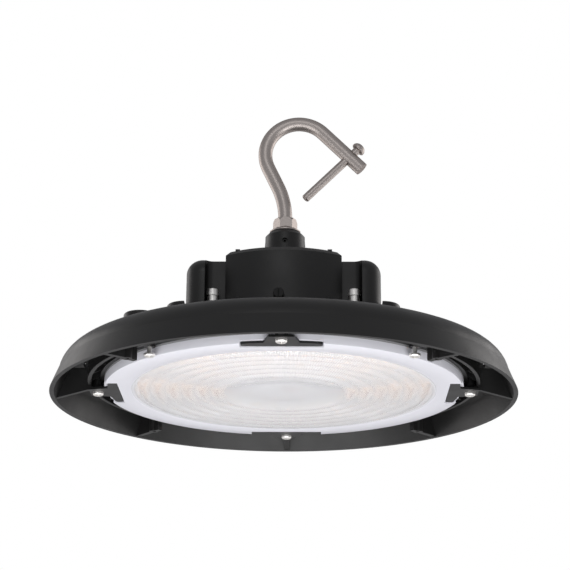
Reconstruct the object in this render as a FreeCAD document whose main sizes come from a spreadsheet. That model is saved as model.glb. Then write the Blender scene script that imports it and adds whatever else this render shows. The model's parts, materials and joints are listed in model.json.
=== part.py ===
import FreeCAD, Part
import math
import os
import Sketcher

# High bay light: a round die-cast housing with its LED board and lens below,
# the driver box on top of it, and a hanging hook with a gate screw.
# Millimetres. Z up, origin at the centre of the skirt's lower edge.

Vector = FreeCAD.Vector
Up = Vector(0, 0, 1)
doc = FreeCAD.newDocument("HighBayLight")

# name, value, what it is
sizes = [
    # skirt, spokes and heat sink
    ("rimRadius", 160.0, "outer radius of the skirt at its lower edge"),
    ("rimBand", 3.1, "width of the flat lower edge"),
    ("skirtHeight", 28.0, "height of the skirt"),
    ("skirtWaistRadius", "=rimRadius - 5.6", "outer radius where the skirt starts to round over"),
    ("skirtWaistHeight", 14.0, "height where the skirt starts to round over"),
    ("skirtShoulderRadius", "=rimRadius - 9.4", "outer radius half way round the shoulder"),
    ("skirtShoulderHeight", 22.2, "height half way round the shoulder"),
    ("skirtTopRadius", "=rimRadius - 19", "outer radius of the skirt's top edge"),
    ("skirtWall", 2.8, "wall of the skirt"),
    ("spokeCount", 8, "spokes between the heat sink and the skirt"),
    ("spokeThickness", 3.8, "thickness of a spoke"),
    ("spokeTop", 22.0, "top of the spokes"),
    ("spokeFoot", 0.4, "lower edge of a spoke at the skirt"),
    ("seatHeight", 6.5, "face that the lens clamps seat on"),
    ("padRadius", 4.4, "radius of the round pads under the clamp screws"),
    ("finWallRadius", "=rimRadius - 25.5", "outer radius of the wall round the fins"),
    ("finWallThickness", 2.4, "thickness of that wall"),
    ("finWallFoot", 9.0, "lower edge of that wall"),
    ("finWallTop", 26.0, "top of that wall"),
    ("floorRadius", "=finWallRadius - 8.5", "radius of the heat sink's floor"),
    ("floorFoot", 11.5, "underside of the heat sink's floor"),
    ("floorThickness", 4.5, "thickness of the floor"),
    ("finCount", 48, "cooling fins"),
    ("finThickness", 2.2, "thickness of a fin"),
    ("finInnerRadius", 30.0, "inner end of the fins"),
    ("finCrownRadius", 84.0, "radius of the fins' flat top"),
    ("finCrown", 44.0, "height of the fins' flat top"),
    ("hubRadius", 34.0, "radius of the solid hub in the fins"),
    ("wireBore", 7.0, "radius of the wire hole through the hub"),
    ("accessoryCircle", "=finWallRadius + 4.5", "radius of the accessory hole circle"),
    ("accessoryBoss", 3.4, "radius of an accessory boss"),
    ("accessoryBossFoot", 1.0, "lower face of the accessory bosses"),
    ("accessoryHole", 1.65, "radius of an accessory hole"),
    ("accessoryHoleDepth", 12.0, "depth of an accessory hole"),
    ("locatorX", 66.0, "locating pillar beside the driver box, along X"),
    ("locatorY", 50.0, "locating pillar beside the driver box, along Y"),
    ("locatorRadius", 12.0, "radius of a locating pillar"),
    ("locatorTop", 51.8, "top of the locating pillars"),
    ("locatorGap", 0.6, "gap from a locating pillar to the driver box"),
    ("eyeX", 92.4, "safety cable eye from the centre, along X"),
    ("eyeY", 78.0, "safety cable eye from the centre, along Y"),
    ("eyeRadius", 11.1, "radius of the safety cable eye"),
    ("eyeHole", 3.2, "radius of its hole"),
    ("eyeTop", 36.8, "top of the safety cable eye"),
    # lens, gasket and clamps
    ("lensRadius", "=finWallRadius - 11.3", "outer radius of the lens"),
    ("lensFace", 4.3, "lower face of the lens's edge"),
    ("lensSheet", 2.2, "thickness of the lens in its middle"),
    ("lensFlangeRadius", "=lensRadius - 19.2", "inner radius of the thick edge of the lens"),
    ("lensFlangeTop", 8.1, "upper side of the lens's thick edge"),
    ("lensSkirt", 2.6, "wall of the lens's upstand"),
    ("lensTop", 10.1, "top of the upstand"),
    ("ridgeCount", 6, "lens ridges, one over each ring of LEDs"),
    ("ridgeInner", 41.4, "inner radius of the first ridge"),
    ("ridgePitch", "=(lensFlangeRadius - ridgeInner - 2) / ridgeCount", "pitch of the ridges"),
    ("ridgeRise", 1.5, "height of a ridge below the lens"),
    ("clampHalfWidth", 25.6, "half the length of a lens clamp"),
    ("clampInner", "=lensRadius - 10.2", "inner edge of a clamp from the centre"),
    ("clampLip", 1.6, "wall of the lens outside a clamp's bar"),
    ("clampOuter", "=lensRadius - clampLip - clampClearance", "outer edge of a clamp's bar from the centre"),
    ("clampTabHalf", 11.3, "half width of the tab where it leaves the bar"),
    ("clampTipHalf", 7.8, "half width of the tab at its tip"),
    ("clampTip", "=lensRadius + 10.4", "tip of the clamp from the centre"),
    ("clampThickness", 1.6, "thickness of a clamp"),
    ("clampClearance", 0.6, "gap round a clamp in the lens"),
    ("clampScrewCircle", "=lensRadius + 4.8", "radius of the clamp screws' circle"),
    ("clampScrewHole", 2.15, "radius of the screw hole in a clamp"),
    ("stemCircle", "=lensRadius + 5", "radius of the two edge screws' circle"),
    ("stemAngle", 41.0, "angle of the edge screws from the front"),
    ("stemBoss", 3.6, "radius of an edge screw's boss"),
    ("stemBossFoot", 9.0, "lower face of an edge screw's boss"),
    ("stemHeadTop", 4.6, "upper side of an edge screw's head"),
    # LED board
    ("boardRadius", "=lensRadius - 15.2", "radius of the LED board"),
    ("boardThickness", 1.5, "thickness of the LED board"),
    ("boardBore", 8.0, "radius of the hole in the middle of the LED board"),
    ("ledSide", 3.0, "side of an LED"),
    ("ledHeight", 0.7, "height of an LED"),
    ("ledPitch", 10.0, "distance from one LED to the next along its ring"),
    ("boardScrewCircle", "=boardRadius - 3.8", "radius of the board screws' circle"),
    ("boardScrewCount", 6, "board screws"),
    ("connectorX", 17.0, "LED board connector from the centre, along X"),
    ("connectorLength", 12.0, "length of the connector"),
    ("connectorWidth", 9.0, "width of the connector"),
    ("connectorHeight", 2.8, "height of the connector"),
    ("leadRadius", 0.9, "radius of a lead"),
    ("leadSpacing", 3.4, "distance between the two leads"),
    ("grommetWall", 2.2, "wall of the grommet round the leads"),
    # driver box
    ("boxHalfX", 65.2, "half width of the driver box"),
    ("boxHalfY", 63.0, "half depth of the driver box"),
    ("boxShoulder", 82.5, "top of the driver box's ears"),
    ("boxTop", 88.5, "top of the driver box's middle"),
    ("boxMiddle", 39.0, "half width of the driver box's middle"),
    ("drumRadius", 67.5, "radius of the round front and back of the box's middle"),
    ("drumEdge", 3.0, "chamfer round the top of the middle"),
    ("boxFoot", 48.0, "lower edge of the driver cover"),
    ("boxWall", 2.6, "wall of the driver cover"),
    ("boxRound", 10.5, "rounding of the ears"),
    ("channelX", 47.2, "screw channel from the centre, along X"),
    ("channelY", 57.0, "screw channel from the centre, along Y"),
    ("channelRadius", 5.2, "radius of a screw channel"),
    ("channelWall", 2.2, "wall round a screw channel, inside the box"),
    ("ribX", 31.0, "top rib from the centre plane, along X"),
    ("ribWidth", 3.0, "width of a top rib"),
    ("ribHeight", 1.3, "height of a top rib above the middle"),
    ("crownRadius", 16.0, "foot radius of the raised crown on the cover"),
    ("crownTop", 116.0, "top of the crown"),
    ("neckRadius", 14.0, "radius of the hook's neck"),
    ("neckTopRadius", 10.6, "radius of the neck's top face"),
    ("neckShoulder", 118.2, "height where the neck starts to taper"),
    ("neckTop", 121.8, "top of the neck"),
    ("basePlate", 3.0, "thickness of the driver's base plate"),
    ("baseGap", 0.2, "gap between the base plate and the heat sink's fins"),
    ("sealThickness", 0.8, "thickness of the driver box's seal"),
    ("spacerTop", 57.4, "upper face of a mounting spacer"),
    ("spacerRadius", 3.6, "radius of a mounting spacer"),
    ("washerRadius", 4.3, "radius of the washers at a mounting spacer's ends"),
    ("washerThickness", 1.4, "thickness of those washers"),
    ("boltRadius", 2.0, "radius of a mounting bolt"),
    ("boltHeadRadius", 4.1, "radius of a mounting bolt's head"),
    ("boltHeadHeight", 3.2, "height of a mounting bolt's head"),
    ("boltDepth", 14.0, "depth of a mounting bolt in the heat sink"),
    ("coverScrewX", 60.6, "cover screw from the centre, along X"),
    ("coverScrewY", 38.0, "cover screw from the centre, along Y"),
    ("coverPost", 4.0, "radius of a screw post in the cover"),
    # front panel
    ("panelHalfWidth", 31.5, "half width of the front panel"),
    ("panelFoot", 48.6, "lower edge of the front panel"),
    ("panelTop", 61.5, "top edge of the front panel"),
    ("panelThickness", 1.8, "thickness of the front panel"),
    ("panelScrewRadius", 1.25, "radius of a panel screw"),
    ("panelScrewInset", 9.0, "panel screw from the end of the opening"),
    ("panelScrewHeight", 51.3, "height of the panel screws' axes"),
    ("windowHalfWidth", 20.0, "half width of the opening behind the panel"),
    ("windowFoot", 50.6, "lower edge of that opening"),
    ("windowTop", 59.6, "top edge of that opening"),
    ("panelSealThickness", 0.8, "thickness of the panel's seal"),
    ("ventRadius", 3.7, "radius of the vent plug"),
    ("ventLength", 4.0, "length of the vent plug in front of the panel"),
    ("ventX", -3.0, "vent plug from the centre, along X"),
    ("ventHeight", 53.4, "height of the vent plug's axis"),
    # cable gland on the back
    ("glandX", 0.0, "cable gland from the centre, along X"),
    ("glandSeatY", "=drumRadius + 0.5", "seat of the gland from the centre, along Y"),
    ("glandPad", 12.6, "radius of the flat pad round the gland"),
    ("glandHeight", 68.0, "height of the gland's axis"),
    ("glandThread", 8.0, "radius of the gland's thread"),
    ("glandHex", 12.0, "corner radius of the gland's hexagon"),
    ("glandBore", 4.6, "bore radius of the gland"),
    # driver electronics
    ("pcbHalfX", 50.0, "half width of the driver's board"),
    ("pcbHalfY", 34.0, "half depth of the driver's board"),
    ("pcbHeight", 56.0, "underside of the driver's board"),
    ("pcbThickness", 1.6, "thickness of the driver's board"),
    ("pcbScrewX", 45.0, "board screw from the centre, along X"),
    ("pcbScrewY", 29.0, "board screw from the centre, along Y"),
    ("pcbPost", 3.2, "radius of the posts under the driver's board"),
    ("ceilingGap", 7.3, "gap from the tallest capacitor to the cover"),
    # hook
    ("hookRadius", 5.0, "radius of the hook's rod"),
    ("hookFoot", 100.0, "lower end of the hook's shank"),
    ("hookStraightTop", 133.0, "top of the straight shank"),
    ("hookSway", 25.3, "angle by which the hook leans back"),
    ("hookSwayRadius", 56.5, "radius of the lean"),
    ("hookLean", 16.0, "straight run between the lean and the bow"),
    ("hookBow", 24.3, "radius of the bow"),
    ("hookArm", 39.6, "length of the hook's straight arm"),
    ("nutFlange", 10.9, "flange radius of the locking nut"),
    ("nutAcrossFlats", 15.0, "locking nut across flats"),
    ("nutHeight", 9.9, "height of the locking nut"),
    ("nutTurn", -25.0, "angle that the locking nut is turned by"),
    ("nutFlangeHeight", 1.8, "height of the nut's flange"),
    ("threadClearance", 0.05, "radial clearance on a thread"),
    ("setScrewHeight", 111.5, "height of the set screw's axis"),
    ("setScrewRadius", 2.0, "radius of the set screw"),
    ("gateAlongArm", 27.0, "gate screw from the start of the arm"),
    ("gateRadius", 2.9, "radius of the gate screw"),
    ("gateLength", 53.6, "length of the gate screw under its head"),
    ("gateHeadGap", 3.2, "gap from the arm to the gate screw's head"),
    ("gateHeadRadius", 5.0, "radius of the gate screw's head"),
    ("gateHeadHeight", 4.6, "height of the gate screw's domed head"),
    ("gateHeadRim", 1.6, "height of the rim below the head's dome"),
    ("gateClearance", 0.06, "radial clearance of the gate screw in the arm"),
]

dims = doc.addObject("Spreadsheet::Sheet", "dims")
for row, (name, value, note) in enumerate(sizes, start=1):
    dims.set("A%d" % row, name)
    dims.set("B%d" % row, str(value))
    dims.set("C%d" % row, note)
    dims.setAlias("B%d" % row, name)
doc.recompute()


def mm(name):
    return float(dims.get(name))


nodes = []  # objects that are written out


def finish(obj, node):
    obj.Label = node
    nodes.append(obj)
    return obj


def bind(obj, **formulas):
    for prop, formula in formulas.items():
        obj.setExpression(prop.replace("__", "."), formula)
    return obj


# small kit: primitives bound to the sheet

def place(obj, x="0", y="0", z="0"):
    return bind(obj, Placement__Base__x=x, Placement__Base__y=y, Placement__Base__z=z)


def cylinder(name, radius, height, x="0", y="0", z="0", tilt=None):
    obj = doc.addObject("Part::Cylinder", name)
    if tilt is not None:
        obj.Placement.Rotation = tilt
    bind(obj, Radius=radius, Height=height)
    return place(obj, x, y, z)


def block(name, length, width, height, x="0", y="0", z="0"):
    obj = doc.addObject("Part::Box", name)
    bind(obj, Length=length, Width=width, Height=height)
    return place(obj, x, y, z)


def cut(name, base, tool):
    obj = doc.addObject("Part::Cut", name)
    obj.Base = base
    obj.Tool = tool
    return obj


def fuse(name, parts):
    obj = doc.addObject("Part::MultiFuse", name)
    obj.Shapes = parts
    return obj


def shared(name, parts):
    obj = doc.addObject("Part::MultiCommon", name)
    obj.Shapes = parts
    return obj


def group(name, parts):
    obj = doc.addObject("Part::Compound", name)
    obj.Links = parts
    return obj


def feature(node, shape):
    obj = doc.addObject("Part::Feature", node)
    obj.Shape = shape
    return finish(obj, node)


# small kit: sketched bodies bound to the sheet

def outline(body, name, role, points):
    """A closed outline of straight lines; each point is a pair of formulas."""
    sketch = body.newObject("Sketcher::SketchObject", name)
    plane = next(f for f in body.Origin.OriginFeatures if f.Role == role)
    sketch.AttachmentSupport = [(plane, "")]
    sketch.MapMode = "FlatFace"
    count = len(points)
    start = [Vector(20 + 10 * math.cos(2 * math.pi * i / count), 10 * math.sin(2 * math.pi * i / count), 0)
             for i in range(count)]
    for i in range(count):
        sketch.addGeometry(Part.LineSegment(start[i], start[(i + 1) % count]), False)
    for i in range(count):
        sketch.addConstraint(Sketcher.Constraint("Coincident", i, 2, (i + 1) % count, 1))
    for i, (across, up) in enumerate(points):
        for kind, formula, value in (("DistanceX", across, start[i].x), ("DistanceY", up, start[i].y)):
            number = sketch.addConstraint(Sketcher.Constraint(kind, -1, 1, i, 1, value))
            sketch.setExpression("Constraints[%d]" % number, formula)
    return sketch


def padded(node, points, length, z="0"):
    """A flat body: an outline in the XY plane, padded upwards from z."""
    body = doc.addObject("PartDesign::Body", node)
    sketch = outline(body, node + "_outline", "XY_Plane", points)
    sketch.setExpression("AttachmentOffset.Base.z", z)
    pad = body.newObject("PartDesign::Pad", node + "_pad")
    pad.Profile = sketch
    pad.setExpression("Length", length)
    body.Tip = pad
    return body


def ring(name, outer, inner, height, z):
    return cut(name, cylinder(name + "_outside", outer, height, z=z),
               cylinder(name + "_inside", inner, height + " + 2", z=z + " - 1"))


# small kit: fasteners

def panHead(radius, height):
    """A domed head with its flat side at z = 0 and a cross recess on top."""
    head = Part.makeCylinder(radius, height)
    head = head.makeFillet(height * 0.6, [head.Edges[0]])
    for turn in (0, 90):
        slot = Part.makeBox(radius * 1.1, radius * 0.26, height, Vector(-radius * 0.55, -radius * 0.13, height * 0.5))
        slot.rotate(Vector(0, 0, 0), Up, turn)
        head = head.cut(slot)
    return head


def hexHead(radius, height, socket):
    """A cylindrical head with a hexagon socket, its flat side at z = 0."""
    head = Part.makeCylinder(radius, height)
    head = head.makeChamfer(height * 0.12, [head.Edges[0]])
    corners = [Vector(socket * math.cos(math.radians(a)), socket * math.sin(math.radians(a)), height * 0.45)
               for a in range(0, 361, 60)]
    return head.cut(Part.Face(Part.makePolygon(corners)).extrude(Vector(0, 0, height)))


def screw(head, shankRadius, shankLength, at, direction=None):
    """A head on a shank; the shank runs from `at` along minus `direction`."""
    shank = Part.makeCylinder(shankRadius, shankLength + 0.01, Vector(0, 0, 0.01), Vector(0, 0, -1))
    shape = head.fuse(shank).removeSplitter()
    turn = FreeCAD.Rotation(Up, direction if direction else Vector(0, 0, -1))
    shape.Placement = FreeCAD.Placement(at, turn)
    return shape


def around(radius, angle, z=0.0):
    """A point on a circle; the angle is counted from the front (-Y) towards +X."""
    a = math.radians(angle)
    return Vector(radius * math.sin(a), -radius * math.cos(a), z)


# housing: skirt, spokes, floor and fins in one casting

floorTop = mm("floorFoot") + mm("floorThickness")
clampAngles = [90 * i for i in range(4)]
accessoryAngles = [45 + 90 * i for i in range(4)]
mountPlaces = [(sx * mm("channelX"), sy * mm("channelY")) for sx in (-1, 1) for sy in (-1, 1)]


def skirtShape():
    outerFoot = Vector(mm("rimRadius"), 0, 0)
    waist = Vector(mm("skirtWaistRadius"), 0, mm("skirtWaistHeight"))
    shoulder = Vector(mm("skirtShoulderRadius"), 0, mm("skirtShoulderHeight"))
    top = Vector(mm("skirtTopRadius"), 0, mm("skirtHeight"))
    wall = mm("skirtWall")
    innerTop = Vector(top.x - 1.2, 0, top.z - wall)
    innerShoulder = Vector(shoulder.x - wall, 0, shoulder.z - wall * 0.55)
    innerWaist = Vector(waist.x - wall, 0, waist.z)
    innerFoot = Vector(mm("rimRadius") - mm("rimBand"), 0, 0)
    lip = Vector(top.x - 1.6, 0, top.z)
    lipFoot = Vector(lip.x, 0, top.z - wall)
    profile = Part.Wire([
        Part.LineSegment(outerFoot, waist).toShape(),
        Part.Arc(waist, shoulder, top).toShape(),
        Part.LineSegment(top, lip).toShape(),
        Part.LineSegment(lip, lipFoot).toShape(),
        Part.LineSegment(lipFoot, innerTop).toShape(),
        Part.Arc(innerTop, innerShoulder, innerWaist).toShape(),
        Part.LineSegment(innerWaist, innerFoot).toShape(),
        Part.LineSegment(innerFoot, outerFoot).toShape(),
    ])
    return Part.Face(profile).revolve(Vector(0, 0, 0), Up, 360)


def upright(points, thickness, angle):
    """A flat web in a plane through Z; points are (radius, z)."""
    corners = [Vector(r, -thickness / 2, z) for r, z in points]
    web = Part.Face(Part.makePolygon(corners + corners[:1])).extrude(Vector(0, thickness, 0))
    web.rotate(Vector(0, 0, 0), Up, angle - 90)
    return web


def spokeShape(angle, low):
    """A spoke whose lower edge climbs to the clamp seat, or stays low under an accessory boss."""
    outer = mm("rimRadius") - mm("rimBand") + 0.6
    seat = mm("seatHeight")
    waist = mm("skirtWaistRadius") - mm("skirtWall") + 0.8
    foot = mm("spokeFoot")
    top = mm("spokeTop")
    if low:
        root = mm("finWallRadius") - mm("finWallThickness")
        lower = [(root, foot + 0.6), (mm("accessoryCircle"), foot + 0.6)]
    else:
        root = mm("floorRadius") - 6.0
        clear = mm("lensRadius") + 0.5
        lower = [(root, mm("floorFoot")), (clear, mm("floorFoot")), (clear, seat), (mm("clampTip") + 1.5, seat)]
    points = lower + [(outer, foot), (waist, mm("skirtWaistHeight")), (waist - 1.6, top), (root, top)]
    return upright(points, mm("spokeThickness"), angle)


def finShape(angle):
    """A fin from the hub over the wall to the skirt's lip."""
    wall = mm("finWallRadius") - mm("finWallThickness") / 2
    lip = mm("skirtTopRadius") - 0.8
    lipFoot = mm("skirtHeight") - mm("skirtWall")
    points = [(mm("finInnerRadius"), floorTop - 0.5), (mm("floorRadius") - 3, floorTop - 0.5),
              (wall, mm("finWallFoot") + 1.5), (wall, mm("finWallTop") - 5.0),
              (lip, lipFoot + 0.4), (lip, mm("skirtHeight") - 0.6),
              (mm("finCrownRadius"), mm("finCrown")), (mm("finInnerRadius"), mm("finCrown"))]
    return upright(points, mm("finThickness"), angle)


def housingShape():
    floor = Part.makeCylinder(mm("floorRadius"), mm("floorThickness"), Vector(0, 0, mm("floorFoot")))
    hub = Part.makeCylinder(mm("hubRadius"), mm("finCrown") - floorTop + 1, Vector(0, 0, floorTop - 1))
    wallHeight = mm("finWallTop") - mm("finWallFoot")
    wallFoot = Vector(0, 0, mm("finWallFoot"))
    finWall = Part.makeCylinder(mm("finWallRadius"), wallHeight, wallFoot).cut(
        Part.makeCylinder(mm("finWallRadius") - mm("finWallThickness"), wallHeight, wallFoot))
    parts = [floor, hub, finWall]
    parts += [finShape(360.0 * (i + 0.5) / int(mm("finCount"))) for i in range(int(mm("finCount")))]
    for i in range(int(mm("spokeCount"))):
        parts.append(spokeShape(45.0 * i, low=bool(i % 2)))
    for angle in accessoryAngles:
        foot = around(mm("accessoryCircle"), angle, mm("accessoryBossFoot"))
        parts.append(Part.makeCylinder(mm("accessoryBoss"), mm("spokeTop") - foot.z, foot))
    for angle in clampAngles:
        foot = around(mm("clampScrewCircle"), angle, mm("seatHeight"))
        parts.append(Part.makeCylinder(mm("padRadius"), mm("spokeTop") - foot.z, foot))
    for side in (-1, 1):
        foot = around(mm("stemCircle"), side * mm("stemAngle"), mm("stemBossFoot"))
        parts.append(Part.makeCylinder(mm("stemBoss"), floorTop - foot.z, foot))
    for x, y in mountPlaces:
        parts.append(Part.makeCylinder(mm("boltHeadRadius") + 2.0, mm("finCrown") - floorTop + 1, Vector(x, y, floorTop - 1)))
    boxX = mm("boxHalfX") + mm("locatorGap")
    boxY = mm("boxHalfY") + mm("locatorGap")
    boxRoom = Part.makeBox(2 * boxX, 2 * boxY, mm("locatorTop"), Vector(-boxX, -boxY, mm("finCrown")))
    for sx in (-1, 1):
        for sy in (-1, 1):
            pillar = Part.makeCylinder(mm("locatorRadius"), mm("locatorTop") - floorTop + 1,
                                       Vector(sx * mm("locatorX"), sy * mm("locatorY"), floorTop - 1))
            parts.append(pillar.makeFillet(1.5, [pillar.Edges[0]]).cut(boxRoom))
    eye = Part.makeCylinder(mm("eyeRadius"), mm("eyeTop") - floorTop + 1, Vector(-mm("eyeX"), -mm("eyeY"), floorTop - 1))
    parts.append(eye.makeFillet(1.5, [eye.Edges[0]]))
    solid = skirtShape().fuse(parts)
    holes = [Part.makeCylinder(mm("wireBore"), mm("finCrown"), Vector(0, 0, mm("floorFoot") - 1))]
    for angle in accessoryAngles:
        holes.append(Part.makeCylinder(mm("accessoryHole"), mm("accessoryHoleDepth"),
                                       around(mm("accessoryCircle"), angle, mm("accessoryBossFoot"))))
    for angle in clampAngles:
        holes.append(Part.makeCylinder(2.0 + mm("threadClearance"), 11.0,
                                       around(mm("clampScrewCircle"), angle, mm("seatHeight"))))
    for side in (-1, 1):
        holes.append(Part.makeCylinder(1.5 + mm("threadClearance"), 5.5,
                                       around(mm("stemCircle"), side * mm("stemAngle"), mm("stemBossFoot"))))
    for i in range(int(mm("boardScrewCount"))):
        holes.append(Part.makeCylinder(1.5 + mm("threadClearance"), 3.6,
                                       around(mm("boardScrewCircle"), 30 + 360.0 * i / mm("boardScrewCount"), mm("floorFoot"))))
    for x, y in mountPlaces:
        holes.append(Part.makeCylinder(mm("boltRadius") + mm("threadClearance"), mm("boltDepth") + 1,
                                       Vector(x, y, mm("finCrown") - mm("boltDepth"))))
    holes.append(Part.makeCylinder(mm("eyeHole"), 12, Vector(-mm("eyeX"), -mm("eyeY"), mm("eyeTop") - 11)))
    return solid.cut(holes).removeSplitter()


housing = feature("heat_sink_housing", housingShape())
print("housing", len(housing.Shape.Solids), round(housing.Shape.Volume / 1000), "cm3")

# lens: a moulded dish with ridges below, an upstand above, and four steps for the clamps

def lensShape():
    face = mm("lensFace")
    sheetFoot = face + 0.6
    sheetTop = sheetFoot + mm("lensSheet")
    flangeTop = mm("lensFlangeTop")
    outer = mm("lensRadius")
    flange = mm("lensFlangeRadius")
    upstand = outer - mm("lensSkirt")
    first = mm("ridgeInner")
    pitch = mm("ridgePitch")
    edges = [Part.LineSegment(Vector(0, 0, sheetFoot), Vector(first, 0, sheetFoot)).toShape()]
    for i in range(int(mm("ridgeCount"))):
        near = Vector(first + i * pitch, 0, sheetFoot)
        crest = Vector(near.x + pitch / 2, 0, sheetFoot - mm("ridgeRise"))
        far = Vector(near.x + pitch, 0, sheetFoot)
        edges.append(Part.Arc(near, crest, far).toShape())
    last = first + mm("ridgeCount") * pitch
    rim = [(last, sheetFoot), (flange, sheetFoot), (flange + 1.2, face), (outer - 0.6, face), (outer, face + 0.6),
           (outer, mm("lensTop")), (upstand, mm("lensTop")), (upstand, flangeTop), (flange + 3, flangeTop),
           (flange, sheetTop), (0, sheetTop), (0, sheetFoot)]
    corners = [Vector(r, 0, z) for r, z in rim]
    edges += [Part.LineSegment(a, b).toShape() for a, b in zip(corners, corners[1:])]
    lens = Part.Face(Part.Wire(edges)).revolve(Vector(0, 0, 0), Up, 360)
    gap = mm("clampClearance")
    steps = []
    for angle in clampAngles:
        width = 2 * (mm("clampHalfWidth") + gap)
        tab = 2 * (mm("clampTabHalf") + gap)
        inner = mm("clampInner") - gap
        rise = mm("seatHeight") - face + 2
        step = Part.makeBox(outer, width, rise, Vector(inner, -width / 2, face - 2))
        step = step.common(Part.makeCylinder(outer - mm("clampLip"), rise, Vector(0, 0, face - 2)))
        step = step.fuse(Part.makeBox(outer, tab, rise, Vector(inner, -tab / 2, face - 2)))
        step.rotate(Vector(0, 0, 0), Up, angle - 90)
        steps.append(step)
    for side in (-1, 1):
        for angle in (mm("stemAngle"), 180 - mm("stemAngle")):
            steps.append(Part.makeCylinder(mm("stemBoss") + 0.6, 12, around(mm("stemCircle"), side * angle, 0)))
    return lens.cut(steps)


feature("lens", lensShape())

gasket = ring("gasket_blank", "dims.lensRadius", "dims.lensRadius - dims.lensSkirt - 1", "dims.floorFoot - dims.lensTop", "dims.lensTop")
for side in (-1, 1):
    for index, angle in enumerate((mm("stemAngle"), 180 - mm("stemAngle"))):
        at = around(mm("stemCircle"), side * angle)
        notch = cylinder("gasket_notch_%d_%d" % (side + 1, index), "dims.stemBoss + 0.6", "20", str(at.x), str(at.y), "0")
        gasket = cut("gasket_cut_%d_%d" % (side + 1, index), gasket, notch)
finish(gasket, "lens_gasket")

# four lens clamps: a bar under the lens's edge with a tab out to its screw

half, tab, tip = "dims.clampHalfWidth", "dims.clampTabHalf", "dims.clampTipHalf"
edge = "sqrt(dims.clampOuter ^ 2 - (%s) ^ 2)"
clampSide = [("dims.clampInner", half + " - 1"), ("dims.clampInner + 1", half), (edge % half + " - 1", half),
             (edge % (half + " - 1"), half + " - 1"), (edge % (half + " * 0.75"), half + " * 0.75"),
             (edge % tab, tab), ("dims.clampTip", tip)]
clampOutline = [(r, "-(%s)" % w) for r, w in clampSide] + clampSide[::-1]
for node, angle in zip(("front", "right", "back", "left"), clampAngles):
    bar = padded("clamp_blank_" + node, clampOutline, "dims.clampThickness", "dims.seatHeight - dims.clampThickness")
    hole = cylinder("clamp_hole_" + node, "dims.clampScrewHole", "12", "dims.clampScrewCircle", "0", "0")
    clamp = finish(cut("clamp_" + node, bar, hole), "lens_clamp_" + node)
    clamp.Placement.Rotation = FreeCAD.Rotation(Up, angle - 90)

clampFace = mm("seatHeight") - mm("clampThickness")
feature("clamp_screws", Part.makeCompound([
    screw(panHead(3.7, 2.3), 2.0, 9.5, around(mm("clampScrewCircle"), angle, clampFace)) for angle in clampAngles]))
feature("edge_screws", Part.makeCompound([
    screw(panHead(3.7, 2.0), 1.5, 9.0, around(mm("stemCircle"), side * mm("stemAngle"), mm("stemHeadTop")))
    for side in (-1, 1)]))

# LED board, its LEDs, connector, leads and grommet

boardFoot = "dims.floorFoot - dims.boardThickness"
disc = ring("board_disc", "dims.boardRadius", "dims.boardBore", "dims.boardThickness", boardFoot)
holes = []
for i in range(int(mm("boardScrewCount"))):
    at = around(mm("boardScrewCircle"), 30 + 360.0 * i / mm("boardScrewCount"))
    holes.append(cylinder("board_hole_%d" % i, "1.7", "20", str(at.x), str(at.y), "0"))
finish(cut("board_drilled", disc, fuse("board_holes", holes)), "led_board")

boardUnder = mm("floorFoot") - mm("boardThickness")


def ledShapes():
    leds = []
    side, height = mm("ledSide"), mm("ledHeight")
    for ringNumber in range(int(mm("ridgeCount"))):
        radius = mm("ridgeInner") + (ringNumber + 0.5) * mm("ridgePitch")
        count = int(2 * math.pi * radius / mm("ledPitch"))
        for i in range(count):
            led = Part.makeBox(side, side, height, Vector(radius - side / 2, -side / 2, boardUnder - height))
            led.rotate(Vector(0, 0, 0), Up, 360.0 * i / count)
            leds.append(led)
    return Part.makeCompound(leds)


feature("led_packages", ledShapes())
feature("board_screws", Part.makeCompound([
    screw(panHead(2.6, 1.5), 1.5, 4.6, around(mm("boardScrewCircle"), 30 + 360.0 * i / mm("boardScrewCount"), boardUnder))
    for i in range(int(mm("boardScrewCount")))]))

connector = block("connector_body", "dims.connectorLength", "dims.connectorWidth", "dims.connectorHeight",
                  "dims.connectorX - dims.connectorLength / 2", "-dims.connectorWidth / 2",
                  "dims.floorFoot - dims.boardThickness - dims.connectorHeight")
ports = []
for side in (-1, 1):
    ports.append(cylinder("connector_port_%d" % (side + 1), "dims.leadRadius", "4",
                          "dims.connectorX - dims.connectorLength / 2 - 1", "%d * dims.leadSpacing / 2" % side,
                          "dims.floorFoot - dims.boardThickness - dims.connectorHeight / 2",
                          FreeCAD.Rotation(Vector(0, 1, 0), 90)))
finish(cut("connector_ported", connector, fuse("connector_ports", ports)), "board_connector")


def leadShape(side):
    """A lead: out of the connector, round one bend and up through the hub."""
    y = side * mm("leadSpacing") / 2
    z = boardUnder - mm("connectorHeight") / 2
    start = Vector(mm("connectorX") - mm("connectorLength") / 2 + 2.8, y, z)
    bend = mm("floorFoot") - z
    top = mm("pcbHeight") - 1.0
    turnStart = Vector(bend, y, z)
    turnEnd = Vector(0, y, z + bend)
    middle = Vector(bend - bend * math.sin(math.pi / 4), y, z + bend - bend * math.cos(math.pi / 4))
    path = Part.Wire([Part.LineSegment(start, turnStart).toShape(), Part.Arc(turnStart, middle, turnEnd).toShape(),
                      Part.LineSegment(turnEnd, Vector(0, y, top)).toShape()])
    section = Part.Wire(Part.makeCircle(mm("leadRadius") - 0.02, start, Vector(-1, 0, 0)))
    return path.makePipeShell([section], True, False)


feature("board_leads", Part.makeCompound([leadShape(-1), leadShape(1)]))

grommet = cylinder("grommet_body", "dims.wireBore", "dims.finCrown - dims.floorFoot - 1", z="dims.floorFoot")
bores = [cylinder("grommet_bore_%d" % (s + 1), "dims.leadRadius", "80", "0", "%d * dims.leadSpacing / 2" % s, "0") for s in (-1, 1)]
finish(cut("grommet_bored", grommet, fuse("grommet_bores", bores)), "wire_grommet")

# driver box: base plate, seal and the cover that carries the hook

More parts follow.
